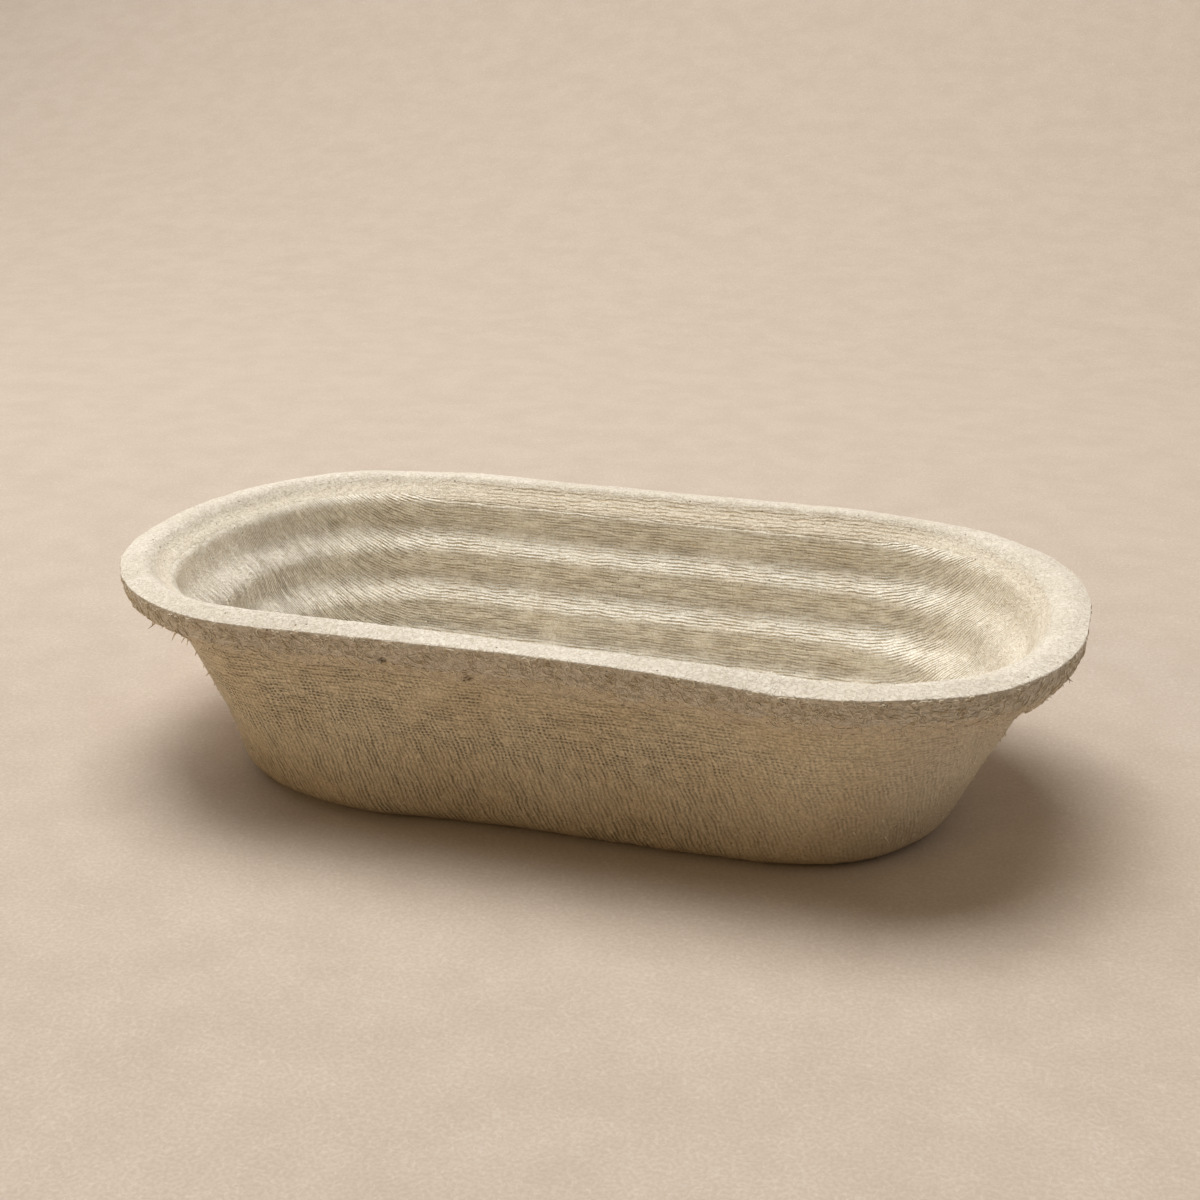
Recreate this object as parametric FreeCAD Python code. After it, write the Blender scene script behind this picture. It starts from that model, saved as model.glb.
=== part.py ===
"""A proofing basket (banneton) of moulded wood pulp, a long oval for one loaf of about 1 kg.

The real basket is a single pressing. Its three zones are modelled as three solids that meet face to face:
the flat floor panel, the side wall with its rings of shallow waves, and the thick rim band of smooth pulp
that caps the wall's top edge and laps down over its outside.

Millimetres. The origin is the middle of the underside, +Z is up and +X runs along the basket's length.
"""

import FreeCAD, Part
import math
import os
from collections import namedtuple

# Driving dimensions
LENGTH = 300.0  # over the rim
WIDTH = 152.0  # over the rim
HEIGHT = 68.0  # table to the highest line of the rim
FLOOR_THICKNESS = 7.0
WAVE_PITCH = 15.9  # height from one wave of the inner wall to the next
WAVE_DEPTH = 1.4  # how far a wave stands out from, or back into, the mean wall
FIRST_LEDGE = 63.6  # height of the uppermost ledge

# The rim band
RIM_WIDTH = 9.5  # from the outer edge in to the mouth
RIM_END_FLAT = 6.0  # half the straight stretch at each end of the outline
RIM_FALL = 1.6  # how much lower the rim's outer edge is than its inner line
RIM_FACE = 8.0  # height of the outer face
RIM_FACE_INSET = 1.5  # how far the outer face leans in on its way down
APRON_DROP = 4.0  # the smooth apron below the outer face
APRON_INSET = 2.2
RIM_LAND = 1.2  # level land beside the mouth
CAP_THICKNESS = 4.0  # pulp over the wall's top edge

# The outer skin of the wall
WALL_TOP_INSET_END = 8.0  # in from the rim's outer edge, where the rim band ends
WALL_TOP_INSET_SIDE = 7.5
WALL_FALL_END = 0.50  # how far the wall runs in for each millimetre down
WALL_FALL_SIDE = 0.235
WALL_END_FLAT = 4.0
BOTTOM_RADIUS = 9.0  # the rounded edge that the basket stands on

# The cavity
CAVITY_FALL_END = 0.535
CAVITY_FALL_SIDE = 0.345
CAVITY_END_FLAT = 4.5
RINGS_PER_WAVE = 6
SHARPEN = 0.25  # share of a second harmonic, which makes ledges narrower than risers

TOLERANCE = 0.001  # two heights closer than this are the same height

Outline = namedtuple("Outline", "z half_length half_width end_flat")


def inset(outline, by, z):
    """The outline offset inwards by a distance, at another height."""
    return Outline(z, outline.half_length - by, outline.half_width - by, outline.end_flat)


def outline_wire(outline):
    """A rectangle with four large rounded corners: eight edges, always in the same order."""
    z, a, b, flat = outline
    r = b - flat
    corners = [(a - r, b - r, 0), (r - a, b - r, 90), (r - a, r - b, 180), (a - r, r - b, 270)]

    def on_corner(corner, degrees):
        x, y, start = corner
        angle = math.radians(start + degrees)
        return FreeCAD.Vector(x + r * math.cos(angle), y + r * math.sin(angle), z)

    edges = []
    for corner, following in zip(corners, corners[1:] + corners[:1]):
        arc = Part.Arc(on_corner(corner, 0), on_corner(corner, 45), on_corner(corner, 90))
        edges.append(arc.toShape())
        edges.append(Part.LineSegment(on_corner(corner, 90), on_corner(following, 0)).toShape())
    return Part.Wire(edges)


def stack(outlines, ruled=True):
    """A closed solid through a stack of outlines, with flat ends."""
    return Part.makeLoft([outline_wire(o) for o in outlines], True, ruled)


def slab(low, high):
    """A block much wider than the basket, between two heights."""
    corner = FreeCAD.Vector(-LENGTH, -LENGTH, low)
    return Part.makeBox(2 * LENGTH, 2 * LENGTH, high - low, corner)


def wave(z):
    """How far the inner wall stands in from its mean slope at a height: in most just under each ledge."""
    angle = 2 * math.pi * (FIRST_LEDGE - z) / WAVE_PITCH
    return WAVE_DEPTH * (math.sin(angle) + SHARPEN * math.sin(2 * angle) / 2)


RIM_EDGE = Outline(HEIGHT - RIM_FALL, LENGTH / 2, WIDTH / 2, RIM_END_FLAT)
RIM_BOTTOM_Z = RIM_EDGE.z - RIM_FACE - APRON_DROP
WALL_TOP_Z = HEIGHT - CAP_THICKNESS


def rim_envelope():
    """The rim band as if it were solid right through, before the wall and the mouth are taken out."""
    face_foot = inset(RIM_EDGE, RIM_FACE_INSET, RIM_EDGE.z - RIM_FACE)
    apron_foot = inset(face_foot, APRON_INSET, RIM_BOTTOM_Z)
    land = inset(RIM_EDGE, RIM_WIDTH - RIM_LAND, HEIGHT)
    return stack([apron_foot, face_foot, RIM_EDGE, land])


def wall_outline(z):
    """The wall's outer skin at a height, on its straight slope."""
    below = RIM_BOTTOM_Z - z
    half_length = LENGTH / 2 - WALL_TOP_INSET_END - WALL_FALL_END * below
    half_width = WIDTH / 2 - WALL_TOP_INSET_SIDE - WALL_FALL_SIDE * below
    return Outline(z, half_length, half_width, WALL_END_FLAT)


def outer_body():
    """The wall and floor as if they were solid, with the rounded bottom edge."""
    body = stack([wall_outline(0.0), wall_outline(WALL_TOP_Z)])
    foot_edges = [e for e in body.Edges if max(v.Z for v in e.Vertexes) < TOLERANCE]
    return body.makeFillet(BOTTOM_RADIUS, foot_edges)


def cavity_outline(z):
    """The inner wall at a height, waves included."""
    below = HEIGHT - z
    half_length = LENGTH / 2 - RIM_WIDTH - CAVITY_FALL_END * below - wave(z)
    half_width = WIDTH / 2 - RIM_WIDTH - CAVITY_FALL_SIDE * below - wave(z)
    return Outline(z, half_length, half_width, CAVITY_END_FLAT)


def cavity():
    """The space that holds the dough, from the floor panel up to the mouth."""
    count = round((HEIGHT - FLOOR_THICKNESS) / WAVE_PITCH * RINGS_PER_WAVE)
    step = (HEIGHT - FLOOR_THICKNESS) / count
    heights = [FLOOR_THICKNESS + step * i for i in range(count + 1)]
    return stack([cavity_outline(z) for z in heights], ruled=False)


def save(name, shape):
    """Writes one node's STEP file, and prints what it holds."""
    box = shape.optimalBoundingBox(False)
    size = " x ".join(f"{s:.1f}" for s in (box.XLength, box.YLength, box.ZLength))
    print(f"{name}: {len(shape.Solids)} solid, {size} mm, {shape.Volume / 1000:.1f} cm3")
    shape.exportStep(f"parts/{name}.step")


def main():
    os.makedirs("parts", exist_ok=True)
    body = outer_body()
    dough_space = cavity()
    nodes = {
        "floor_panel": body.common(slab(-HEIGHT, FLOOR_THICKNESS)),
        "ribbed_wall": body.common(slab(FLOOR_THICKNESS, HEIGHT)).cut(dough_space),
        "rim_band": rim_envelope().cut(body).cut(dough_space),
    }
    for name, shape in nodes.items():
        save(name, shape)


main()
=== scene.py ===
# %% [markdown]
# # A moulded-pulp proofing basket
#
# A proofing basket holds a loaf while its dough rises. This one is a single pressing of wet wood pulp. A
# former covered with woven wire screen gives it its shape, the water drains through the screen, and the
# pulp dries hard with the screen's weave printed on its walls. Bakers like it because the dry pulp drinks a
# little water from the dough's skin.
#
# The lesson builds it in this order: the shell with its waves, the thick rim, the loose fibres, then the
# finishes, the floor, the light and the camera.

# %% Load the frame
import math
import random

import bmesh
import bpy
import numpy as np
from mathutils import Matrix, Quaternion, Vector, noise
from mathutils.bvhtree import BVHTree


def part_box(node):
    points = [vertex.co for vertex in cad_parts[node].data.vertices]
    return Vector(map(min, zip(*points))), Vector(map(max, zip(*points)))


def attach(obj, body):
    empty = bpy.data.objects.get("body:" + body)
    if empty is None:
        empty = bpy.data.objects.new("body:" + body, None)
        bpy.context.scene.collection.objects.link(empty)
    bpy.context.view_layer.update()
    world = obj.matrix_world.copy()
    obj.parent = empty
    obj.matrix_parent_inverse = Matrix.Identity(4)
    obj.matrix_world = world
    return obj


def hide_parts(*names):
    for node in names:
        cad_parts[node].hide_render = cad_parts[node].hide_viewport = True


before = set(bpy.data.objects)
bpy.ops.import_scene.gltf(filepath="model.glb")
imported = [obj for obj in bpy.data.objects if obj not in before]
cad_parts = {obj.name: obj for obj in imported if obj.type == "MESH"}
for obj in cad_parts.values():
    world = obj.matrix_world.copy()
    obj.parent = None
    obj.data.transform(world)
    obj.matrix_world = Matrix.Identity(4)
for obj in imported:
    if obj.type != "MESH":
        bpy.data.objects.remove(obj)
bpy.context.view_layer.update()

# %% [markdown]
# ## Sizes
#
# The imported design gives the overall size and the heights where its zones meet. What it doesn't say, such as
# the width of the rim's flat top, is named here in millimetres.

# %% Sizes taken from the frame
MM = 0.001
rim_low, rim_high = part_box("rim_band")
floor_low, floor_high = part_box("floor_panel")
HALF_LENGTH = rim_high.x
HALF_WIDTH = rim_high.y
RIM_TOP = rim_high.z
RIM_FOOT = rim_low.z
FLOOR_TOP = floor_high.z
END_FLAT = 5 * MM  # half the straight stretch across each end of the oval
print(f"rim {2 * HALF_LENGTH / MM:.0f} x {2 * HALF_WIDTH / MM:.0f} mm, {RIM_TOP / MM:.0f} mm high")

# %% [markdown]
# ## Modelling an oval shell by hand
#
# The plan of the basket is a circle that was cut in four and pulled apart: round ends, long straight sides,
# and a short flat across each end. Every other line of the basket is that oval again, smaller and lower. So the
# whole shell can be drawn with one gesture: take the open edge loop, extrude it, scale it, and move it to its
# new height. A lathe-like spin can't do this, because the basket isn't round, and a stack of separate slices
# would leave seams.

# %% Helpers that start an oval and extrude it from ring to ring
def select_where(mesh, kind, test):
    """In edit mode, selects the vertices or edges that pass a test, and nothing else."""
    bpy.ops.mesh.select_mode(type="VERT" if kind == "verts" else "EDGE")
    bpy.ops.mesh.select_all(action="DESELECT")
    edit = bmesh.from_edit_mesh(mesh)
    for item in getattr(edit, kind):
        item.select_set(test(item))
    edit.select_flush_mode()
    bmesh.update_edit_mesh(mesh)


class OvalShell:
    """A mesh in edit mode whose selected edge loop is an oval, with its size and height as they are now."""

    def __init__(self, name, half_length, half_width, z, round_points, side_cuts):
        radius = half_width - END_FLAT
        bpy.ops.object.select_all(action="DESELECT")
        bpy.ops.mesh.primitive_circle_add(vertices=round_points, radius=radius, location=(0, 0, 0))
        self.object = bpy.context.object
        self.object.name = name
        self.mesh = self.object.data
        self.mesh.name = name
        self.size = Vector((half_length, half_width, z))
        bpy.ops.object.mode_set(mode="EDIT")
        half_step = math.pi / round_points  # so that no vertex sits on the lines of the cuts
        bpy.ops.transform.rotate(value=half_step, orient_axis="Z", center_override=(0, 0, 0))
        self.pull_apart("x", half_length - radius)
        self.pull_apart("y", END_FLAT)
        select_where(self.mesh, "edges", lambda e: e.calc_length() > half_length - radius)
        bpy.ops.mesh.subdivide(number_cuts=side_cuts)
        bpy.ops.mesh.select_all(action="SELECT")
        bpy.ops.transform.translate(value=(0, 0, z))

    def pull_apart(self, axis, distance):
        """Moves the two halves of the outline away from each other along X or Y."""
        for side in (1, -1):
            select_where(self.mesh, "verts", lambda v: getattr(v.co, axis) * side > 0)
            move = Vector((0, 0, 0))
            setattr(move, axis, side * distance)
            bpy.ops.transform.translate(value=move)

    def extrude_to(self, half_length, half_width, z):
        """Extrudes the selected loop to its next size and height."""
        new = Vector((half_length, half_width, z))
        lift = (0, 0, new.z - self.size.z)
        bpy.ops.mesh.extrude_edges_move(TRANSFORM_OT_translate={"value": lift})
        grow = (new.x / self.size.x, new.y / self.size.y, 1)
        bpy.ops.transform.resize(value=grow, center_override=(0, 0, 0))
        self.size = new

    def zip_shut(self, rings):
        """Closes the panel inside the loop: smaller and smaller ovals, the last one flat as a line and zipped."""
        spine = self.size.x - self.size.y
        start = self.size.copy()
        for share in np.linspace(0, 1, rings + 1)[1:]:
            width = start.y * max(1 - share, 0.02)
            self.extrude_to(spine + (start.x - spine) * (1 - share), width, start.z)
        bpy.ops.transform.resize(value=(1, 0, 1), center_override=(0, 0, 0))
        bpy.ops.mesh.remove_doubles(threshold=0.01 * MM)

    def select_open_edge(self, size):
        """Selects the loop that is still open, and notes its size."""
        select_where(self.mesh, "edges", lambda e: e.is_boundary)
        self.size = Vector(size)

    def finish(self, subdivisions):
        """Leaves edit mode, turns all faces outwards and smooths the cage."""
        bpy.ops.mesh.select_all(action="SELECT")
        bpy.ops.mesh.normals_make_consistent(inside=False)
        bpy.ops.object.mode_set(mode="OBJECT")
        smooth = self.object.modifiers.new("smooth", "SUBSURF")
        smooth.levels = smooth.render_levels = subdivisions
        bpy.ops.object.modifier_apply(modifier=smooth.name)
        bpy.ops.object.shade_smooth()
        return self.object


# %% [markdown]
# ## The shell
#
# The wall has a plain slope outside. Inside it carries four soft rings of waves, made by the former, that leave
# a ledge and a riser by turns and give the loaf its grooves. The waves are a sine with a little of its second
# harmonic, which makes the ledges narrower than the risers. The smoothing of the cage flattens waves, so the
# cage's waves are drawn taller by the amount that it takes away.

# %% Lines of the wall
RIM_WIDTH = 9.5 * MM
MOUTH = Vector((HALF_LENGTH - RIM_WIDTH, HALF_WIDTH - RIM_WIDTH))
CAVITY_FALL = Vector((0.535, 0.345))  # how far the inner wall runs in for each unit down: ends, sides
WAVE_PITCH = 15.9 * MM
WAVE_DEPTH = 1.4 * MM
FIRST_LEDGE = RIM_TOP - 4.4 * MM
RINGS_PER_WAVE = 6
SHARPEN = 0.25

WALL_TOP = Vector((HALF_LENGTH - 8 * MM, HALF_WIDTH - 7.5 * MM))  # the outer wall where the rim's foot is
WALL_FALL = Vector((0.50, 0.235))
FOOT_RADIUS = 9 * MM


def wave(z, taller=(1, 1)):
    """How far the inner wall stands in from its mean slope at a height."""
    angle = 2 * math.pi * (FIRST_LEDGE - z) / WAVE_PITCH
    return WAVE_DEPTH * (taller[0] * np.sin(angle) + taller[1] * SHARPEN / 2 * np.sin(2 * angle))


def smoothing_loss(harmonic):
    """The share of a wave that the smoothed cage keeps."""
    return (2 + math.cos(2 * math.pi * harmonic / RINGS_PER_WAVE)) / 3


def inner_size(z, taller=(1, 1)):
    """Half length and half width of the cavity at a height."""
    fall = CAVITY_FALL * (RIM_TOP - z)
    stand_in = wave(z, taller)
    return MOUTH.x - fall.x - stand_in, MOUTH.y - fall.y - stand_in


def foot_arc(z, half_at_wall_foot, fall):
    """The outer wall's half size at a height, with the rounded edge that the basket stands on."""
    lean = math.atan(fall)
    centre = half_at_wall_foot - FOOT_RADIUS * math.tan((math.pi / 2 - lean) / 2)
    if z > FOOT_RADIUS * (1 - math.sin(lean)):
        return half_at_wall_foot + fall * z
    return centre + math.sqrt(FOOT_RADIUS**2 - (FOOT_RADIUS - z) ** 2)


def outer_size(z):
    """Half length and half width of the outer skin at a height."""
    foot = WALL_TOP - WALL_FALL * RIM_FOOT
    return foot_arc(z, foot.x, WALL_FALL.x), foot_arc(z, foot.y, WALL_FALL.y)


# %% Extrude the shell ring by ring
SHELL_TOP = RIM_TOP - 3.2 * MM  # the shell ends inside the rim
taller = (1 / smoothing_loss(1), 1 / smoothing_loss(2))
mouth_size = (*[s + 1.6 * MM for s in inner_size(SHELL_TOP)], SHELL_TOP)
shell_cage = OvalShell("pulp_shell", *mouth_size, round_points=60, side_cuts=24)
wave_step = WAVE_PITCH / RINGS_PER_WAVE
floor_corner = FLOOR_TOP + 1.2 * MM
for z in np.arange(SHELL_TOP - wave_step, floor_corner, -wave_step):
    shell_cage.extrude_to(*inner_size(z, taller), z)
inner_floor = [s - 1.5 * MM for s in inner_size(FLOOR_TOP)]
shell_cage.extrude_to(*inner_floor, FLOOR_TOP)
shell_cage.zip_shut(rings=7)

shell_cage.select_open_edge(mouth_size)
shell_cage.extrude_to(HALF_LENGTH - 6 * MM, HALF_WIDTH - 6 * MM, SHELL_TOP - 1 * MM)
for z in np.arange(RIM_FOOT + 3 * MM, FOOT_RADIUS, -3.6 * MM):
    shell_cage.extrude_to(*outer_size(z), z)
for degrees in (15, 30, 45, 60, 75, 90):
    z = FOOT_RADIUS * (1 - math.sin(math.radians(degrees)))
    shell_cage.extrude_to(*outer_size(z), z)
shell_cage.zip_shut(rings=6)
shell = shell_cage.finish(subdivisions=2)
print(f"shell: {len(shell.data.vertices)} vertices")

# %% [markdown]
# ## The rim
#
# The rim is a thick band of smooth pulp: a flat top that falls outwards, a crisp outer edge, a felted outer
# face, and below it an apron that laps over the wall. It is its own ring, drawn with the same gesture round a
# closed section.

# %% Extrude the rim's section
RIM_FALL = 1.6 * MM
FACE_FOOT = RIM_TOP - 9.6 * MM


def rim_size(inset, z):
    return HALF_LENGTH - inset, HALF_WIDTH - inset, z


RIM_SECTION = (  # inset from the outer edge, and depth below the top, in millimetres
    (8.9, 1.7),
    (8.0, 0.8),
    (6.6, 0.3),
    (4.0, 0.85),
    (1.6, 1.35),
    (0.35, 1.6),
    (0.0, 2.0),
    (0.15, 3.2),
    (0.5, 5.2),
    (0.9, 7.2),
    (1.3, 8.9),
    (1.9, 9.8),
    (2.7, 11.2),
    (3.6, 13.2),
    (4.6, 14.2),
    (7.0, 14.9),
    (10.5, 15.5),
    (9.5, 9.0),
)


def lip_size(inset, z):
    """The rim's inner face follows the wall below it; a positive inset lies under the wall's surface."""
    half_length, half_width = inner_size(z)
    return half_length + inset, half_width + inset, z


LIP_SECTION = ((1.4, 12.0), (0.4, 9.2), (0.0, 7.6), (-0.15, 6.2), (-0.22, 4.8), (-0.2, 3.2))  # inset and depth in millimetres
lip = [lip_size(inset * MM, RIM_TOP - depth * MM) for inset, depth in LIP_SECTION]
band = [rim_size(inset * MM, RIM_TOP - depth * MM) for inset, depth in RIM_SECTION]
first_size, *other_sizes = lip + band
rim_cage = OvalShell("pulp_rim", *first_size, round_points=108, side_cuts=50)
for size in other_sizes:
    rim_cage.extrude_to(*size)
select_where(rim_cage.mesh, "edges", lambda e: e.is_boundary)
bpy.ops.mesh.bridge_edge_loops()
rim = rim_cage.finish(subdivisions=2)
print(f"rim: {len(rim.data.vertices)} vertices")

# %% [markdown]
# ## Places on the oval
#
# Much of what follows has to know where a point lies on the oval: how far in from an outline, which way is
# outwards, and how far round. Each question is answered for all vertices of a mesh at once.

# %% Helpers that read and move all vertices
def vertex_places(piece):
    """The vertices' places as three arrays."""
    flat = np.empty(len(piece.data.vertices) * 3)
    piece.data.vertices.foreach_get("co", flat)
    return flat.reshape(-1, 3).T.copy()


def place_vertices(piece, places):
    piece.data.vertices.foreach_set("co", np.asarray(places).T.ravel())
    piece.data.update()


def inset_from(x, y, half_length, half_width):
    """How far inside an oval outline a point lies; negative outside it."""
    radius = half_width - END_FLAT
    past_x = np.abs(x) - (half_length - radius)
    past_y = np.abs(y) - END_FLAT
    reach = np.hypot(np.maximum(past_x, 0), np.maximum(past_y, 0))
    return radius - np.where(reach > 0, reach, np.maximum(past_x, past_y))


SPINE = HALF_LENGTH - HALF_WIDTH  # half the straight stretch that runs along the middle of the oval


def outwards(x, y):
    """The level direction away from the spine, and the distance to it."""
    across_x = x - np.clip(x, -SPINE, SPINE)
    reach = np.maximum(np.hypot(across_x, y), 1e-9)
    return across_x / reach, y / reach, reach


def ramp(value, start, end):
    """0 before the start, 1 after the end, and a soft slope between; works downwards too."""
    t = np.clip((value - start) / (end - start), 0, 1)
    return t * t * (3 - 2 * t)


def bump(value, middle, spread):
    return np.exp(-(((value - middle) / spread) ** 2))


# %% [markdown]
# ## Drying out of true
#
# Wet pulp comes off the former straight and dries crooked. The long sides arch up in the middle, two corners
# sink, and the end wall that dried first drew in. The waves also blur towards the ends, where the pulp is
# thickest. One function moves every piece in the same way, so rim and shell stay together.

# %% Warp every piece alike
WAVES_DEEPENED = 0.3  # the former's waves stand out a little more once the wall has shrunk
FRONT_EDGE = (  # how far the front edge rose or sank, at places along the basket; all in millimetres
    (-110, -80, -50, -30, 0, 15, 40, 60, 75, 90, 105),
    (0, -0.4, 0.4, 0.7, 1.2, 1.2, 0.7, -0.4, -1.3, -0.6, 0),
)
FRONT_LIP = ((-115, -85, -60, -40, 0, 60, 80, 100), (0, 1.6, 1.5, 1.2, 0.9, 0.9, 0.5, 0))
LEFT_WALL_HEIGHTS = (0, 6, 14, 25, 40, 50, 55, 59)  # millimetres
LEFT_WALL_DRAWN_IN = (0.8, 3.4, 6.4, 7.4, 5.6, 4.6, 4.6, 0)


def dry_out(piece):
    """Moves a piece's vertices to where the pulp ends up once it's dry."""
    x, y, z = vertex_places(piece)
    out_x, out_y, _ = outwards(x, y)
    depth = RIM_TOP - z
    at_left_end = ramp(x, -85 * MM, -132 * MM) * ramp(out_y, 0.5, -0.1)
    inside = inset_from(x, y, HALF_LENGTH, HALF_WIDTH)
    inner_line = RIM_WIDTH + depth * np.interp(np.abs(out_x), (0, 1), (CAVITY_FALL.y, CAVITY_FALL.x))
    on_inner_skin = ramp(inside - inner_line, -4.5 * MM, -2.5 * MM) * ramp(z, FLOOR_TOP / 2, FLOOR_TOP)
    on_outer_skin = 1 - on_inner_skin
    on_top_side = ramp(z, RIM_TOP - 12 * MM, RIM_TOP - 6 * MM)

    fade = 0.6 * ramp(x, 75 * MM, 128 * MM) + 0.25 * ramp(x, -75 * MM, -128 * MM)
    move = on_inner_skin * (fade - WAVES_DEEPENED * (1 - fade)) * wave(z) * ramp(z, FLOOR_TOP, FLOOR_TOP + 4 * MM)

    right_shoulder = ramp(x, 105 * MM, 140 * MM) + 0.35 * ramp(x, -100 * MM, -135 * MM)
    move -= 2.4 * MM * right_shoulder * np.exp(-((depth / (6 * MM)) ** 2)) * ramp(inside, 5 * MM, 9.5 * MM)

    drawn_in = np.interp(z / MM, LEFT_WALL_HEIGHTS, LEFT_WALL_DRAWN_IN) * MM
    inner_follows = 0.42 * ramp(z, 60 * MM, 42 * MM)
    move -= (on_outer_skin + inner_follows * on_inner_skin) * drawn_in * at_left_end
    move -= on_outer_skin * 1.2 * MM * ramp(x, 95 * MM, 130 * MM) * ramp(RIM_FOOT - z, 0, 8 * MM)
    low = ramp(z, 34 * MM, 6 * MM) * on_outer_skin * ramp(-y, 10 * MM, 30 * MM)
    move += low * (3.6 * MM * bump(x, -52 * MM, 22 * MM) - 1.5 * MM * bump(x, 70 * MM, 20 * MM))

    across_top = np.clip(inside / RIM_WIDTH, 0, 1)
    middle = ramp(np.abs(x), 98 * MM, 62 * MM)
    back_lift = middle * (1.6 - 0.9 * across_top)
    front_lift = (1 - across_top) * np.interp(x / MM, *FRONT_EDGE) + across_top * np.interp(x / MM, *FRONT_LIP)
    lift = (front_lift + (back_lift - front_lift) * ramp(y, -30 * MM, 30 * MM)) * MM * ramp(z, 25 * MM, 55 * MM)
    sunk = 1.0 * MM * ramp(x, -112 * MM, -138 * MM) * ramp(y, -30 * MM, 30 * MM)
    sunk += 0.9 * MM * ramp(x, 108 * MM, 132 * MM) * ramp(-y, 0, 40 * MM)
    lift -= sunk * ramp(z, 20 * MM, 55 * MM)
    at_ends = ramp(x, 80 * MM, 130 * MM) + 0.9 * ramp(x, -80 * MM, -130 * MM)
    shoulder = ramp(inside, 4 * MM, 12 * MM) * np.exp(-((depth / (5 * MM)) ** 2)) * on_top_side
    lift -= shoulder * (0.5 + 1.9 * at_ends) * MM
    place_vertices(piece, (x + out_x * move, y + out_y * move, z + lift))


# %% [markdown]
# ## The screen's own lines
#
# The screen is a flat cloth that was pressed into the form, so its threads run straight over the floor and bend
# round the corners. Inside, a point's place in the cloth is its distance along the surface from the floor's
# spine, in the direction that leads to it. Outside, the cloth went round like a sleeve: one way is the
# distance round the basket, the other the distance up the wall. Both are stored as UV maps in millimetres, so
# that a thread's pitch can be read straight off the material.

# %% Store places in the cloth as UV maps
ROUND_RADIUS = 60 * MM  # the ends' radius where distances round the basket are true


def round_the_oval(x, y):
    """The distance round the basket, and the full length of one turn. It starts over at the back left."""
    out_x, out_y, _ = outwards(x, y)
    turned = np.mod(np.arctan2(out_y, out_x) + math.pi / 2, 2 * math.pi)
    along = np.clip(x, -SPINE, SPINE)
    way = ROUND_RADIUS * turned + np.where(turned < math.pi / 2, along + SPINE, 3 * SPINE - along)
    full = 4 * SPINE + 2 * math.pi * ROUND_RADIUS
    start_over = 4 * SPINE + math.pi * ROUND_RADIUS
    return np.where(way > start_over, way - full, way), full


def store_map(piece, name, u, v, full_turn=None):
    """Stores one pair of values for every vertex as a UV map, whole across the place where a turn ends."""
    mesh = piece.data
    corners = np.empty(len(mesh.loops), dtype=int)
    mesh.loops.foreach_get("vertex_index", corners)
    pairs = np.stack((u[corners], v[corners]), axis=-1).reshape(-1, 4, 2)  # every face has four corners
    if full_turn:
        highest = pairs[..., 0].max(axis=1, keepdims=True)
        pairs[..., 0] += np.where(highest - pairs[..., 0] > full_turn / 2, full_turn, 0)
    layer = mesh.uv_layers.new(name=name)
    layer.uv.foreach_set("vector", (pairs / MM).ravel())


x, y, z = vertex_places(shell)
out_x, out_y, reach = outwards(x, y)
floor_reach = inner_size(FLOOR_TOP)[1]
up_wall = np.hypot(np.maximum(reach - floor_reach, 0), np.maximum(z - FLOOR_TOP, 0))
surface = np.minimum(reach, floor_reach) + up_wall
store_map(shell, "inner_cloth", np.clip(x, -SPINE, SPINE) + out_x * surface, out_y * surface)
way, full_turn = round_the_oval(x, y)
store_map(shell, "outer_cloth", way, np.hypot(z, np.minimum(reach, 50 * MM) - 50 * MM), full_turn)

x, y, z = vertex_places(rim)
way, full_turn = round_the_oval(x, y)
store_map(rim, "band", way, RIM_TOP - z, full_turn)
store_map(rim, "section", inset_from(x, y, HALF_LENGTH, HALF_WIDTH), RIM_TOP - z)
print(f"one turn round the basket is {full_turn / MM:.0f} mm")

# %% [markdown]
# ## Uneven pulp
#
# Nothing on a pulp moulding is a clean curve. Broad swells come from uneven drying, small ones from lumps in the
# pulp. The rim's outer face is the deckle: it was never pressed, so it is rougher than the rest, and the apron
# ends in a ragged line. Displacement by cloud textures makes the first kind; the ragged line is moved in
# code, because it has to stay on the wall.

# %% Ragged apron, then swells and lumps
def uneven(piece, lump, height, group=""):
    """Displaces a piece by soft lumps of a size and height in millimetres."""
    texture = bpy.data.textures.new(f"lumps {lump} mm", "CLOUDS")
    texture.noise_scale = lump * MM
    texture.noise_depth = 2
    swell = piece.modifiers.new(texture.name, "DISPLACE")
    swell.texture = texture
    swell.texture_coords = "LOCAL"
    swell.strength = height * MM
    swell.mid_level = 0.5
    swell.vertex_group = group
    bpy.context.view_layer.objects.active = piece
    bpy.ops.object.modifier_apply(modifier=swell.name)


def lumps(places, size, seed):
    """A value between about -1 and 1 at each place, that changes over a distance."""
    offset = Vector((seed, seed, seed))
    return np.array([noise.noise(Vector(p) / size + offset) for p in np.asarray(places).T])


x, y, z = vertex_places(rim)
inside = inset_from(x, y, HALF_LENGTH, HALF_WIDTH)
depth = RIM_TOP - z
apron = ramp(depth, 10 * MM, 13.5 * MM) * ramp(inside, 9 * MM, 7 * MM)
ragged = np.zeros(len(x))
edge_points = apron > 0
place = np.array((x, y, 0 * z))[:, edge_points]
ragged[edge_points] = 1.5 * MM * lumps(place, 9 * MM, 3) + 0.9 * MM * lumps(place, 2.6 * MM, 8)
place_vertices(rim, (x, y, z + ragged * apron))

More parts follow.
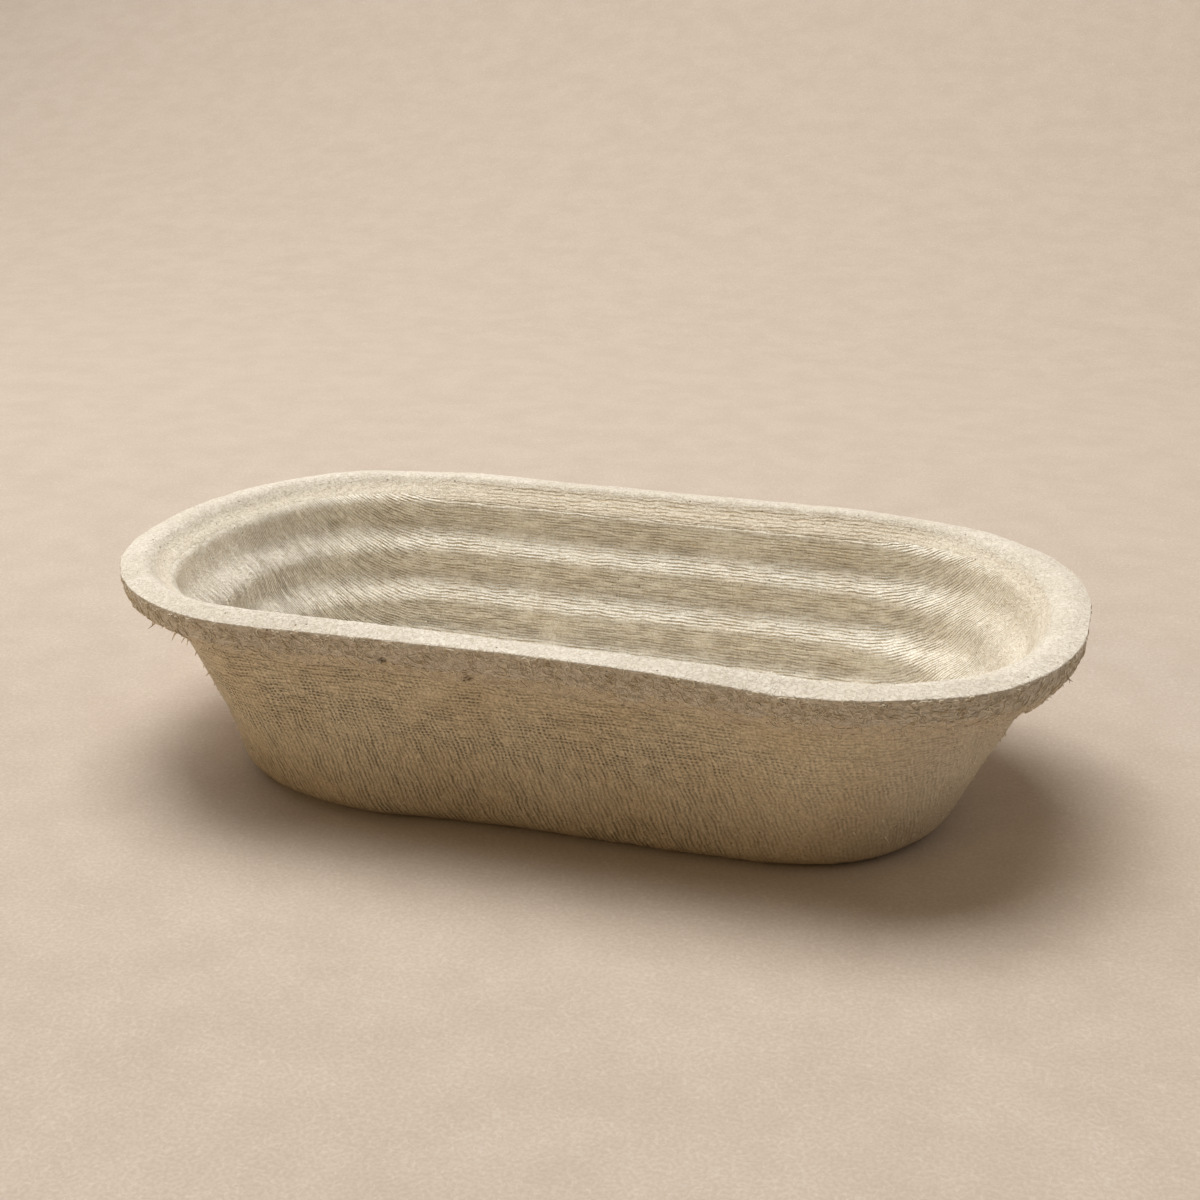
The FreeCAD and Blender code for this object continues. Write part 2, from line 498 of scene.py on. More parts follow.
MARKS = (  # place along the front, depth below the top, half width, half height, how far pushed in; millimetres
    (-38.3, 9.0, 1.4, 1.2, 2.0),
    (-13.0, 12.3, 1.3, 1.0, 2.0),
    (-2.0, 12.2, 7.0, 0.8, 0.75),
    (35.0, 11.0, 3.6, 0.9, -2.0),
    (37.0, 12.6, 5.0, 0.7, 0.7),
)
x, y, z = vertex_places(rim)
front_side = ramp(-y, 60 * MM, 68 * MM)
hollow = np.zeros(len(x))
for along, below, half_width, half_height, pushed_in in MARKS:
    mark = bump(x, along * MM, half_width * MM) * bump(RIM_TOP - z, below * MM, half_height * MM) * front_side
    y += pushed_in * MM * mark
    hollow += pushed_in / 2 * mark
rim.data.attributes.new("hollow", "FLOAT", "POINT").data.foreach_set("value", hollow)
place_vertices(rim, (x, y, z))

centres = np.empty(len(shell.data.polygons) * 3)
shell.data.polygons.foreach_get("center", centres)
x, y, z = centres.reshape(-1, 3).T
end_on = np.abs(outwards(x, y)[0])  # 0 on a long side, 1 at the tip of an end
wall_middle = RIM_WIDTH - 3.5 * MM + (RIM_TOP - z) * np.interp(end_on, (0, 1), CAVITY_FALL.yx)
outside = (z < FLOOR_TOP / 2) | (inset_from(x, y, HALF_LENGTH, HALF_WIDTH) < wall_middle)

dry_out(shell)
dry_out(rim)

felted = ramp(depth, 1.7 * MM, 2.8 * MM) * ramp(inside, 7 * MM, 4 * MM) * ramp(depth, 11.5 * MM, 9 * MM)
felt_group = rim.vertex_groups.new(name="felted")
for index in np.flatnonzero(felted > 0.02):
    felt_group.add([int(index)], float(felted[index]), "REPLACE")
uneven(shell, lump=55, height=1.1)
uneven(shell, lump=11, height=0.55)
uneven(shell, lump=3.5, height=0.28)
uneven(rim, lump=55, height=1.1)
uneven(rim, lump=11, height=0.55)
uneven(rim, lump=3.5, height=0.28)
uneven(rim, lump=4, height=0.7, group="felted")
uneven(rim, lump=1.4, height=0.6, group="felted")

x, y, z = vertex_places(shell)
place_vertices(shell, (x, y, np.maximum(z, 0.03 * MM)))  # lumps under the floor were flattened by the table

# %% [markdown]
# ## Loose fibres
#
# Where the pulp wasn't pressed, single wood fibres stand free of the felt. They lie along the surface in lazy
# curls, thickest on the rim's outer face, with a few on its top edge and a few that hang off the ragged apron.
# Each is a thin curve that is laid on the surface point by point and then turned into a mesh.

# %% Lay curled fibres on the rim
FIBRE_RADIUS = 0.16 * MM
random.seed(11)
bpy.context.view_layer.update()
rim_surface = BVHTree.FromObject(rim, bpy.context.evaluated_depsgraph_get())
shell_surface = BVHTree.FromObject(shell, bpy.context.evaluated_depsgraph_get())


def lay_fibre(curves, surface, start, normal, length, curl, lift, points=8):
    """One fibre: a walk over the surface that keeps turning, each point pulled back to the surface."""
    heading = Vector((random.gauss(0, 1), random.gauss(0, 1), random.gauss(0, 0.45))).cross(normal).normalized()
    turn = random.gauss(0, curl)
    walk = [start + normal * lift]
    here = start
    for step in range(points - 1):
        heading = Quaternion(normal, turn + random.gauss(0, 0.25)) @ heading
        here, normal, _, _ = surface.find_nearest(here + heading * length / points)
        if normal.z > 0.45:  # it would climb over the edge
            break
        heading = (heading - normal * heading.dot(normal)).normalized()
        walk.append(here + normal * (lift + random.uniform(0, 0.12) * MM))
    if len(walk) < 3:
        return
    spline = curves.splines.new("POLY")
    spline.points.add(len(walk) - 1)
    for i, (point, place) in enumerate(zip(spline.points, walk)):
        point.co = (*place, 1)
        point.radius = 0.35 if i in (0, len(walk) - 1) else random.uniform(0.7, 1.1)


def fibres_to_mesh(curves, name):
    """Turns the laid curves into one mesh piece."""
    curves.dimensions = "3D"
    curves.bevel_depth = FIBRE_RADIUS
    curves.bevel_resolution = 0
    curves.use_fill_caps = True
    bpy.ops.object.select_all(action="DESELECT")
    piece = bpy.data.objects.new(name, curves)
    bpy.context.collection.objects.link(piece)
    piece.select_set(True)
    bpy.context.view_layer.objects.active = piece
    bpy.ops.object.convert(target="MESH")
    piece.data.name = name
    return piece


def scatter(curves, piece, surface, wanted, count, length, curl, lift):
    """Lays fibres that start at vertices picked from those that are wanted."""
    candidates = np.flatnonzero(wanted)
    for _ in range(count):
        vertex = piece.data.vertices[int(random.choice(candidates))]
        lay_fibre(curves, surface, vertex.co.copy(), vertex.normal.copy(), length * MM * random.uniform(0.5, 1.4),
                  curl, lift * MM)


fibre_curves = bpy.data.curves.new("loose_fibres", "CURVE")
scatter(fibre_curves, rim, rim_surface, felted > 0.5, 1500, length=5.0, curl=0.55, lift=0.12)
scatter(fibre_curves, rim, rim_surface, (depth > 10 * MM) & (inside < 6 * MM), 260, 4.0, 0.4, 0.05)

# %% Let some hang off the apron and bristle from the end walls
def bristle(curves, start, direction, length):
    """A short stiff end of fibre that stands free."""
    bend = Vector((random.gauss(0, 1), random.gauss(0, 1), random.gauss(0, 1))) * 0.35 * length
    spline = curves.splines.new("POLY")
    spline.points.add(3)
    for i, point in enumerate(spline.points):
        share = i / 3
        point.co = (*(start + direction.normalized() * length * share + bend * share**2), 1)
        point.radius = 1.8 - 1.3 * share


apron_edge = np.flatnonzero(edge_points)
for _ in range(430):
    root = rim.data.vertices[int(random.choice(apron_edge))].co
    end_share = ramp(abs(root.x), 60 * MM, 125 * MM)
    if random.random() > 0.25 + 0.75 * end_share:
        continue
    away = Vector(outwards(*root.xy)[:2]).to_3d()
    direction = away * random.uniform(0.1, 1.1) + Vector((random.gauss(0, 0.5), random.gauss(0, 0.5), -0.9))
    longer = 1.4 if root.x < -90 * MM else 1
    bristle(fibre_curves, root, direction, random.uniform(0.4, 1.3) * MM * (0.6 + 0.6 * end_share) * longer)

end_wall = [
    face
    for face, is_outer in zip(shell.data.polygons, outside)
    if is_outer and abs(face.center.x) > 90 * MM and 8 * MM < face.center.z < 52 * MM
]
for face in random.sample(end_wall, 420):
    direction = face.normal + Vector((random.gauss(0, 0.5), random.gauss(0, 0.5), -0.6))
    bristle(fibre_curves, face.center, direction, random.uniform(0.4, 1.0) * MM)
fibres = fibres_to_mesh(fibre_curves, "loose_fibres")
print(f"fibres: {len(fibres.data.polygons)} faces")

# %% [markdown]
# ## Finishes
#
# All of it is the same dry mechanical pulp: matt, cream to tan, with paler fibres and a few dark specks of bark.
# What differs is how the surface was made. Colours are given as sRGB hex and turned
# into linear values by one function. Pattern scales are worked out from real sizes: coordinates are first turned
# into millimetres, so a noise's scale is one over the size of its lumps, and a band's is worked out from its
# pitch.

# %% Helpers for materials
def to_linear(hex_colour):
    """A colour given as sRGB hex, as the linear values that a shader wants."""
    values = [int(hex_colour[i : i + 2], 16) / 255 for i in (1, 3, 5)]
    return (*[v / 12.92 if v <= 0.04045 else ((v + 0.055) / 1.055) ** 2.4 for v in values], 1)


def node(tree, kind, inputs=None, output=0, **settings):
    """Adds a node with its settings, gives its inputs values or links, and returns one of its outputs."""
    made = tree.nodes.new("ShaderNode" + kind)
    for name, value in settings.items():
        setattr(made, name, value)
    for key, value in (inputs or {}).items():
        if isinstance(value, bpy.types.NodeSocket):
            tree.links.new(value, made.inputs[key])
        else:
            made.inputs[key].default_value = value
    return made.outputs[output]


BAND_SCALE = math.pi / 10  # a wave texture of this scale repeats once in each unit
MIX_A, MIX_B, MIX_RESULT = 6, 7, 2  # sockets of a mix node set to colours


def start_material(name):
    """A new material: its node tree, its shader, and Object coordinates in millimetres."""
    material = bpy.data.materials.new(name)
    material.use_nodes = True
    tree = material.node_tree
    shader = tree.nodes["Principled BSDF"]
    shader.inputs["Roughness"].default_value = 0.92
    shader.inputs["Specular IOR Level"].default_value = 0.25
    place = node(tree, "TexCoord", output="Object")
    in_mm = node(tree, "VectorMath", {0: place, "Scale": 1 / MM}, operation="SCALE")
    return material, tree, shader, in_mm


def mix(tree, share, a, b):
    """A colour between two others, each given as a hex value or a socket."""
    a, b = (to_linear(c) if isinstance(c, str) else c for c in (a, b))
    return node(tree, "Mix", {0: share, MIX_A: a, MIX_B: b}, output=MIX_RESULT, data_type="RGBA")


def blend(tree, value, low, high, to_low=0, to_high=1):
    """Turns a range of values into another, softly, and holds it at the ends."""
    return node(tree, "MapRange", {0: value, 1: low, 2: high, 3: to_low, 4: to_high},
                interpolation_type="SMOOTHSTEP")


def calc(tree, operation, a, b=0.0):
    return node(tree, "Math", {0: a, 1: b}, operation=operation)


def curls(tree, in_mm, size, width):
    """Thin curly lines, as matted fibres make: the places where a noise passes through its middle value."""
    wander = node(tree, "TexNoise", {"Vector": in_mm, "Scale": 1 / size, "Detail": 1.5, "Distortion": 0.6})
    off_middle = calc(tree, "ABSOLUTE", calc(tree, "SUBTRACT", wander, 0.5))
    return blend(tree, off_middle, 0, width, 1, 0)


def specks(tree, in_mm, spacing, size):
    """Small dark flecks of bark, one in some cells and none in others."""
    cell = {"Vector": in_mm, "Scale": 1 / spacing}
    near = node(tree, "TexVoronoi", cell, output="Distance")
    lot = node(tree, "SeparateColor", {0: node(tree, "TexVoronoi", cell, output="Color")})
    return calc(tree, "MULTIPLY", blend(tree, near, size / spacing * 0.5, size / spacing, 1, 0),
                calc(tree, "GREATER_THAN", lot, 0.6))


def threads(tree, cloth, direction, pitch, in_mm, waver):
    """The print of parallel wires, as a height: 1 on the ridge between two wires and 0 in a wire's groove."""
    wobble = node(tree, "TexNoise", {"Vector": in_mm, "Scale": 1 / 6.0, "Detail": 3.0}, output="Color")
    offset = node(tree, "VectorMath", {0: wobble, 1: (0.5, 0.5, 0.5)}, operation="SUBTRACT")
    offset = node(tree, "VectorMath", {0: offset, "Scale": waver}, operation="SCALE")
    moved = node(tree, "VectorMath", {0: cloth, 1: offset})
    return node(tree, "TexWave", {"Vector": moved, "Scale": BAND_SCALE / pitch}, output="Fac",
                bands_direction=direction, wave_profile="SIN")


def uneven_lines(tree, cloth, direction, pitch):
    """How well each printed line came out, along its length: from weak to full."""
    long_way, cross_way = (1 / 9.0, 1 / pitch) if direction == "Y" else (1 / pitch, 1 / 9.0)
    stretched = node(tree, "Mapping", {"Vector": cloth, "Scale": (long_way, cross_way, 1)})
    luck = node(tree, "TexNoise", {"Vector": stretched, "Scale": 1.0, "Detail": 2.0})
    return blend(tree, luck, 0.36, 0.62, 0.25, 1.2)


def faded(tree, value, strength, middle=0.5):
    """Draws a pattern back towards its middle value, so that it blurs without turning lighter or darker."""
    swing = calc(tree, "MULTIPLY", calc(tree, "SUBTRACT", value, middle), strength)
    return calc(tree, "ADD", swing, middle)


def height_of(tree, in_mm):
    return node(tree, "SeparateXYZ", {0: in_mm}, output="Z")


def finish_pulp(tree, shader, colour, height, depth):
    """Joins colour and height to the shader. Depth is the real height of the relief in millimetres."""
    relief = node(tree, "Bump", {"Height": height, "Distance": depth * MM, "Strength": 1.0})
    tree.links.new(colour, shader.inputs["Base Color"])
    tree.links.new(relief, shader.inputs["Normal"])


# %% Pulp pressed on the inner former, with its fine screen print
def make_inner_pulp():
    # Cream-yellow dry pulp. The print is crisp where the pulp was squeezed hardest and blurs away at the ends.
    material, tree, shader, in_mm = start_material("dry wood pulp, pressed on a fine screen")
    cloth = node(tree, "UVMap", uv_map="inner_cloth")
    fine = threads(tree, cloth, "Y", 1.0, in_mm, waver=1.5)
    cross = threads(tree, cloth, "X", 1.34, in_mm, waver=1.3)
    where = node(tree, "SeparateXYZ", {0: in_mm})
    height = height_of(tree, in_mm)
    patchy = node(tree, "TexNoise", {"Vector": in_mm, "Scale": 1 / 14.0, "Detail": 3.0})
    strength = blend(tree, patchy, 0.30, 0.55, 0.55, 1)
    strength = calc(tree, "MULTIPLY", strength, blend(tree, where, 95, 135, 1, 0.2))
    strength = calc(tree, "MULTIPLY", strength, blend(tree, where, -142, -116, 0.2, 1))
    strength = calc(tree, "MULTIPLY", strength, blend(tree, height, 60, 66, 1, 0.15))
    strength = calc(tree, "MULTIPLY", strength, uneven_lines(tree, cloth, "Y", 1.0))
    print_height = calc(tree, "ADD", calc(tree, "MULTIPLY", fine, 0.92), calc(tree, "MULTIPLY", cross, 0.08))
    groove = faded(tree, calc(tree, "SUBTRACT", 1.0, print_height), strength)
    felt = curls(tree, in_mm, 2.2, 0.09)
    shaded_creases = curls(tree, in_mm, 1.8, 0.06)
    grain = node(tree, "TexNoise", {"Vector": in_mm, "Scale": 1 / 0.9, "Detail": 4.0})
    blotch = node(tree, "TexNoise", {"Vector": in_mm, "Scale": 1 / 25.0, "Detail": 3.0})
    colour = mix(tree, blend(tree, blotch, 0.35, 0.65), "#FCF5E8", "#FFFBF1")
    smooth_top = calc(tree, "MAXIMUM", blend(tree, where, -135, -100, 1, 0), blend(tree, height, 58, 64))
    colour = mix(tree, calc(tree, "MULTIPLY", smooth_top, 0.9), colour, "#F4ECDF")
    colour = mix(tree, calc(tree, "MULTIPLY", blend(tree, where, 90, 130), 0.9), colour, "#E6DCCB")
    # The print's grooves are painted darker: partly darker pulp held in them, partly painted shade in the grooves.
    colour = mix(tree, blend(tree, groove, 0.42, 1.0, 0, 0.7), colour, "#AB8D58")
    colour = mix(tree, calc(tree, "MULTIPLY", felt, 0.3), colour, "#FFFCF4")
    # Painted shade: thin creases among the curls are painted darker where their folds lie in shade.
    colour = mix(tree, calc(tree, "MULTIPLY", shaded_creases, 0.32), colour, "#B39C76")
    colour = mix(tree, blend(tree, grain, 0.3, 0.5, 0.16, 0), colour, "#C0A978")
    colour = mix(tree, calc(tree, "MULTIPLY", specks(tree, in_mm, 4.0, 0.4), 0.75), colour, "#6E5B43")
    relief = calc(tree, "SUBTRACT", calc(tree, "MULTIPLY", grain, 0.2), groove)
    relief = calc(tree, "ADD", relief, calc(tree, "MULTIPLY", felt, 0.25))
    relief = calc(tree, "SUBTRACT", relief, calc(tree, "MULTIPLY", shaded_creases, 0.15))
    finish_pulp(tree, shader, colour, relief, 0.55)
    return material


# %% Pulp pressed on the outer screen, coarser and darker
def make_outer_pulp():
    # Tan pulp with a coarse print: level wires near the top, slanting wires lower down, both broken by fibres.
    material, tree, shader, in_mm = start_material("dry wood pulp, pressed on a coarse screen")
    cloth = node(tree, "UVMap", uv_map="outer_cloth")
    slanted = node(tree, "Mapping", {"Vector": cloth, "Rotation": (0, 0, math.radians(-17))})
    level = threads(tree, cloth, "Y", 1.02, in_mm, waver=2.2)
    slant = threads(tree, slanted, "X", 1.34, in_mm, waver=3.0)
    where = node(tree, "SeparateXYZ", {0: in_mm})
    height = height_of(tree, in_mm)
    patchy = node(tree, "TexNoise", {"Vector": in_mm, "Scale": 1 / 9.0, "Detail": 3.0})
    crisp = blend(tree, patchy, 0.30, 0.60, 0.5, 1)
    up_the_cloth = node(tree, "SeparateXYZ", {0: cloth}, output="Y")
    under = calc(tree, "MULTIPLY", blend(tree, height, 1.5, 3.5, 1, 0), blend(tree, up_the_cloth, 8, 30))
    crisp = calc(tree, "MULTIPLY", crisp, calc(tree, "SUBTRACT", 1.0, under))
    crisp = calc(tree, "MULTIPLY", crisp, blend(tree, where, 20, 100, 1, 0.5))
    crisp = calc(tree, "MULTIPLY", crisp, blend(tree, where, -132, -104, 0.2, 1))
    level_share = calc(tree, "MULTIPLY", blend(tree, height, 20, 40, 0.2, 1.0), crisp)
    slant_share = calc(tree, "MULTIPLY", blend(tree, height, 28, 50, 1.0, 0.4), crisp)
    level_share = calc(tree, "MULTIPLY", level_share, uneven_lines(tree, cloth, "Y", 1.02))
    slant_share = calc(tree, "MULTIPLY", slant_share, uneven_lines(tree, slanted, "X", 1.34))
    level_groove = faded(tree, calc(tree, "SUBTRACT", 1.0, level), level_share)
    slant_groove = faded(tree, calc(tree, "SUBTRACT", 1.0, slant), slant_share)
    lines = calc(tree, "MULTIPLY", calc(tree, "ADD", level_groove, slant_groove), 0.35)
    groove = calc(tree, "ADD", lines, calc(tree, "MULTIPLY", level_groove, slant_groove))
    felt = curls(tree, in_mm, 2.0, 0.06)
    grain = node(tree, "TexNoise", {"Vector": in_mm, "Scale": 1 / 0.9, "Detail": 4.0})
    blotch = node(tree, "TexNoise", {"Vector": in_mm, "Scale": 1 / 18.0, "Detail": 4.0})
    colour = mix(tree, blend(tree, blotch, 0.35, 0.65), "#EDDDC1", "#F4E7CE")
    # Painted shade: the outer wall is painted darker towards the floor, where it lies in shade.
    colour = mix(tree, blend(tree, height, 42, 2, 0, 0.6), colour, "#A98E69")
    # Painted light: the outer wall is painted paler towards both ends, and its print fainter there, where the ends
    # catch more light.
    ends = calc(tree, "ADD", blend(tree, where, 90, 125, 0, 0.45), blend(tree, where, -125, -90, 1, 0))
    colour = mix(tree, calc(tree, "MULTIPLY", ends, 0.8), colour, "#FBF4E6")
    # The print's grooves are painted darker: partly darker pulp held in them, partly painted shade in the grooves.
    print_dirt_and_shade = calc(tree, "MULTIPLY", blend(tree, groove, 0.45, 1.4, 0, 0.85), blend(tree, ends, 0, 1, 1, 0.7))
    colour = mix(tree, print_dirt_and_shade, colour, "#5E4A30")
    colour = mix(tree, calc(tree, "MULTIPLY", felt, 0.3), colour, "#E9DCC2")
    colour = mix(tree, blend(tree, grain, 0.35, 0.65, 0.3, 0), colour, "#8C7655")
    colour = mix(tree, calc(tree, "MULTIPLY", specks(tree, in_mm, 4.0, 0.4), 0.75), colour, "#4E3C28")
    relief = calc(tree, "SUBTRACT", calc(tree, "MULTIPLY", grain, 0.6), groove)
    relief = calc(tree, "ADD", relief, calc(tree, "MULTIPLY", felt, 0.3))
    finish_pulp(tree, shader, colour, relief, 0.55)
    return material


# %% Smooth pulp of the rim: wiped top, felted face, troweled apron
def make_rim_pulp():
    # The top was wiped smooth: pale, with faint curls. The face was left as torn felt: greyer and full of fibres.
    # The apron was smeared down over the wall: smooth and tan.
    material, tree, shader, in_mm = start_material("dry wood pulp, smoothed and felted by hand")
    section = node(tree, "SeparateXYZ", {0: node(tree, "UVMap", uv_map="section")})
    depth = node(tree, "SeparateXYZ", {0: node(tree, "UVMap", uv_map="section")}, output="Y")
    band = node(tree, "UVMap", uv_map="band")
    edge_noise = node(tree, "TexNoise", {"Vector": in_mm, "Scale": 1 / 4.0, "Detail": 3.0})
    wavy_depth = calc(tree, "ADD", depth, blend(tree, edge_noise, 0.25, 0.75, -1.2, 1.2))
    outer = blend(tree, section, 5.5, 7.5, 1, 0)
    face = calc(tree, "MULTIPLY", blend(tree, depth, 1.5, 2.2), outer)
    apron = calc(tree, "MULTIPLY", blend(tree, wavy_depth, 9.3, 10.6), outer)
    long_fibres = node(tree, "Mapping", {"Vector": band, "Scale": (0.35, 1, 1)})
    curl_fine = curls(tree, in_mm, 2.1, 0.08)
    shaded_creases = curls(tree, in_mm, 1.8, 0.06)
    curl_long = curls(tree, long_fibres, 1.6, 0.06)
    felt = calc(tree, "MAXIMUM", curl_fine, curl_long)
    grain = node(tree, "TexNoise", {"Vector": in_mm, "Scale": 1 / 0.8, "Detail": 4.0})
    blotch = node(tree, "TexNoise", {"Vector": in_mm, "Scale": 1 / 20.0, "Detail": 3.0})
    torn = node(tree, "TexNoise", {"Vector": long_fibres, "Scale": 1 / 1.1, "Detail": 4.0, "Distortion": 1.0})
    top_colour = mix(tree, blend(tree, blotch, 0.35, 0.65), "#DAD1C3", "#E3DBCE")
    top_colour = mix(tree, blend(tree, section, 8.0, 10.5), top_colour, "#E6DCCB")
    top_colour = mix(tree, calc(tree, "MULTIPLY", curl_fine, 0.25), top_colour, "#FBF6EC")
    # Painted shade: thin creases among the curls are painted darker where their folds lie in shade.
    top_colour = mix(tree, calc(tree, "MULTIPLY", shaded_creases, 0.42), top_colour, "#AC9C86")
    face_colour = mix(tree, blend(tree, torn, 0.35, 0.62), "#D2C4B2", "#EBE2D5")
    face_colour = mix(tree, calc(tree, "MULTIPLY", felt, 0.45), face_colour, "#EFE6D6")
    apron_colour = mix(tree, blend(tree, torn, 0.3, 0.7), "#E0D0B7", "#E8DAC3")
    colour = mix(tree, face, top_colour, face_colour)
    colour = mix(tree, apron, colour, apron_colour)
    colour = mix(tree, blend(tree, grain, 0.35, 0.65, 0.2, 0), colour, "#998870")
    colour = mix(tree, calc(tree, "MULTIPLY", specks(tree, in_mm, 3.6, 0.42), 0.85), colour, "#5E4A35")
    hollow = node(tree, "Attribute", attribute_name="hollow", output="Fac")
    # Painted shade: the pushed-in hollows are painted near black, broken up by the torn felt, where they lie in
    # shade.
    pit_shade = calc(tree, "MULTIPLY", blend(tree, hollow, 0.15, 0.7, 0, 0.9), blend(tree, torn, 0.42, 0.55, 1, 0.15))
    colour = mix(tree, pit_shade, colour, "#4A3724")
    # Painted highlight: where a mark stands out of the surface it is painted paler, as if its top caught the light.
    colour = mix(tree, blend(tree, hollow, -0.15, -0.6, 0, 0.8), colour, "#F4EBDC")
    where = node(tree, "SeparateXYZ", {0: in_mm})
    lip = calc(tree, "MULTIPLY", blend(tree, section, 7.6, 9.4), blend(tree, where, -90, -40))
    lip = calc(tree, "MULTIPLY", lip, blend(tree, where, 75, 110, 1, 0))
    lip_lines = threads(tree, band, "Y", 1.0, in_mm, waver=1.6)
    lip_share = calc(tree, "MULTIPLY", lip, uneven_lines(tree, band, "Y", 1.0))
    lip_groove = calc(tree, "MULTIPLY", calc(tree, "SUBTRACT", 1.0, lip_lines), lip_share)
    # The lip's print lines are painted darker: partly darker pulp in the grooves, partly painted shade in them.
    colour = mix(tree, calc(tree, "MULTIPLY", lip_groove, 0.4), colour, "#AB8D58")
    rough = calc(tree, "SUBTRACT", calc(tree, "MULTIPLY", face, 1.0), calc(tree, "MULTIPLY", apron, 0.75))
    relief = calc(tree, "MULTIPLY", torn, calc(tree, "MULTIPLY", rough, 1.5))
    relief = calc(tree, "SUBTRACT", relief, calc(tree, "MULTIPLY", lip_groove, 0.7))
    relief = calc(tree, "ADD", relief, calc(tree, "MULTIPLY", grain, 0.5))
    felt_height = calc(tree, "MULTIPLY", felt, blend(tree, face, 0, 1, 0.35, 0.95))
    relief = calc(tree, "ADD", relief, felt_height)
    relief = calc(tree, "SUBTRACT", relief, calc(tree, "MULTIPLY", shaded_creases, 0.25))
    finish_pulp(tree, shader, colour, relief, 0.28)
    return material


# %% Bare fibres
def make_fibre():
    # A single wood fibre is paler than the felt it lies on, because nothing shades it.
    material, tree, shader, in_mm = start_material("dry wood fibre, loose")
    tone = node(tree, "TexNoise", {"Vector": in_mm, "Scale": 1 / 3.0, "Detail": 1.0})
    tree.links.new(mix(tree, blend(tree, tone, 0.35, 0.65), "#D3C4AA", "#F2E9D8"), shader.inputs["Base Color"])
    return material


# %% Put the finishes on the pieces
def skin(piece, *materials):
    piece.data.materials.clear()
    for material in materials:
        piece.data.materials.append(material)


skin(shell, make_inner_pulp(), make_outer_pulp())
shell.data.polygons.foreach_set("material_index", outside.astype(int))
skin(rim, make_rim_pulp())
skin(fibres, make_fibre())

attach(shell, "root")
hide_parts("floor_panel", "ribbed_wall")
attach(rim, "root")
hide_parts("rim_band")
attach(fibres, "root")
print(f"{int(outside.sum())} faces of the shell lie outside")

# %% [markdown]
# ## The studio
#
# The basket stands on a sheet of buff paper that sweeps up far behind it, so no horizon shows.

# %% Paper sweep
SWEEP_AT = 1.75  # metres behind the basket
SWEEP_RADIUS = 1.2
bpy.ops.object.select_all(action="DESELECT")
bpy.ops.mesh.primitive_plane_add(size=6, location=(0, 0, 0))
floor = bpy.context.object
floor.name = "studio_paper"
bpy.ops.object.mode_set(mode="EDIT")
bpy.ops.transform.translate(value=(0, SWEEP_AT - 3, 0))
at_back = SWEEP_AT - 0.1
select_where(floor.data, "edges", lambda e: all(v.co.y > at_back for v in e.verts))
bpy.ops.mesh.extrude_edges_move(TRANSFORM_OT_translate={"value": (0, 0, 3)})
select_where(floor.data, "edges", lambda e: all(v.co.y > at_back and v.co.z < 0.1 for v in e.verts))
bpy.ops.mesh.bevel(offset=SWEEP_RADIUS, segments=24, affect="EDGES")
bpy.ops.object.mode_set(mode="OBJECT")
bpy.ops.object.shade_smooth()
paper, paper_tree, paper_shader, paper_mm = start_material("buff studio paper")
mottle = node(paper_tree, "TexNoise", {"Vector": paper_mm, "Scale": 1 / 22.0, "Detail": 5.0, "Roughness": 0.6})
paper_grain = node(paper_tree, "TexNoise", {"Vector": paper_mm, "Scale": 1 / 1.1, "Detail": 2.0})
paper_colour = mix(paper_tree, blend(paper_tree, mottle, 0.3, 0.7), "#C0B1A4", "#C6B8AB")
paper_colour = mix(paper_tree, blend(paper_tree, paper_grain, 0.35, 0.65, 0.3, 0), paper_colour, "#AB9883")
paper_curls = curls(paper_tree, paper_mm, 3.0, 0.03)
paper_colour = mix(paper_tree, calc(paper_tree, "MULTIPLY", paper_curls, 0.15), paper_colour, "#E9DFD3")
paper_tree.links.new(paper_colour, paper_shader.inputs["Base Color"])
skin(floor, paper)

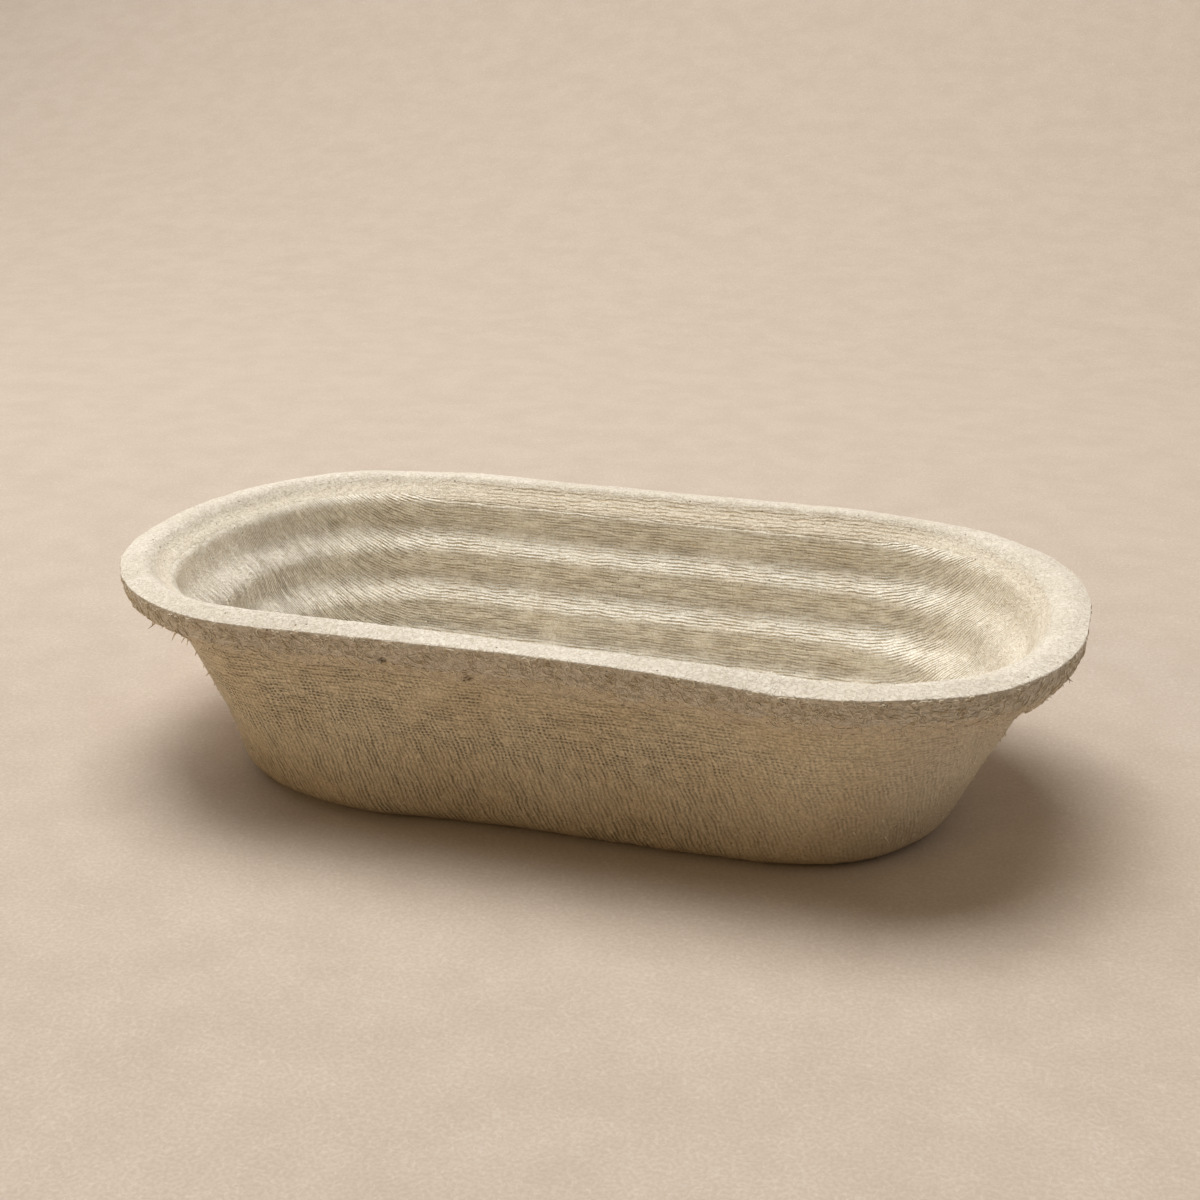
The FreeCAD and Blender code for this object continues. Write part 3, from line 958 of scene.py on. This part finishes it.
# %% Camera
AZIMUTH = math.radians(17.46)
ELEVATION = math.radians(21.11)
DISTANCE = 0.58125
camera_back = Vector(
    (
        math.sin(AZIMUTH) * math.cos(ELEVATION),
        -math.cos(AZIMUTH) * math.cos(ELEVATION),
        math.sin(ELEVATION),
    )
)
camera_right = Vector((math.cos(AZIMUTH), math.sin(AZIMUTH), 0))
camera_up = camera_right.cross(-camera_back)
bpy.ops.object.camera_add(location=camera_back * DISTANCE + camera_right * 0.0024 + camera_up * 0.0513)
camera = bpy.context.object
camera.rotation_mode = "QUATERNION"
camera.rotation_quaternion = (-camera_back).to_track_quat("-Z", "Y")
camera.data.lens = 54
camera.data.sensor_width = 36
bpy.context.scene.camera = camera

# %% [markdown]
# One large soft light stands high behind the basket's left end, so the front wall lies in its shade, and its
# warm glow comes back from the room.

# %% Light
def soft_light(name, azimuth, elevation, distance, size, energy, colour):
    """A square lamp that looks at the basket from a direction; azimuth is counted from the right to the back."""
    a, e = math.radians(azimuth), math.radians(elevation)
    away = Vector((math.cos(a) * math.cos(e), math.sin(a) * math.cos(e), math.sin(e)))
    bpy.ops.object.light_add(type="AREA", location=away * distance)
    lamp = bpy.context.object
    lamp.name = name
    lamp.data.size = size
    lamp.data.energy = energy
    lamp.data.color = to_linear(colour)[:3]
    lamp.rotation_mode = "QUATERNION"
    lamp.rotation_quaternion = away.to_track_quat("Z", "Y")


soft_light("key", azimuth=164, elevation=60, distance=1.85, size=1.4, energy=14, colour="#F8FBFE")
soft_light("right", azimuth=8, elevation=36, distance=2.4, size=2.2, energy=12, colour="#F8EFE0")
soft_light("left", azimuth=190, elevation=14, distance=1.6, size=1.0, energy=1.4, colour="#F8EFE0")
soft_light("overhead", azimuth=128, elevation=79, distance=2.0, size=1.2, energy=37, colour="#F8F8F4")
soft_light("front", azimuth=234, elevation=22, distance=2.6, size=1.6, energy=12.5, colour="#F8DCAC")
world = bpy.data.worlds.new("dark room")
bpy.context.scene.world = world
world.use_nodes = True
world.node_tree.nodes["Background"].inputs["Color"].default_value = to_linear("#FFDDB0")
world.node_tree.nodes["Background"].inputs["Strength"].default_value = 0.03
bpy.context.scene.view_settings.view_transform = "Standard"
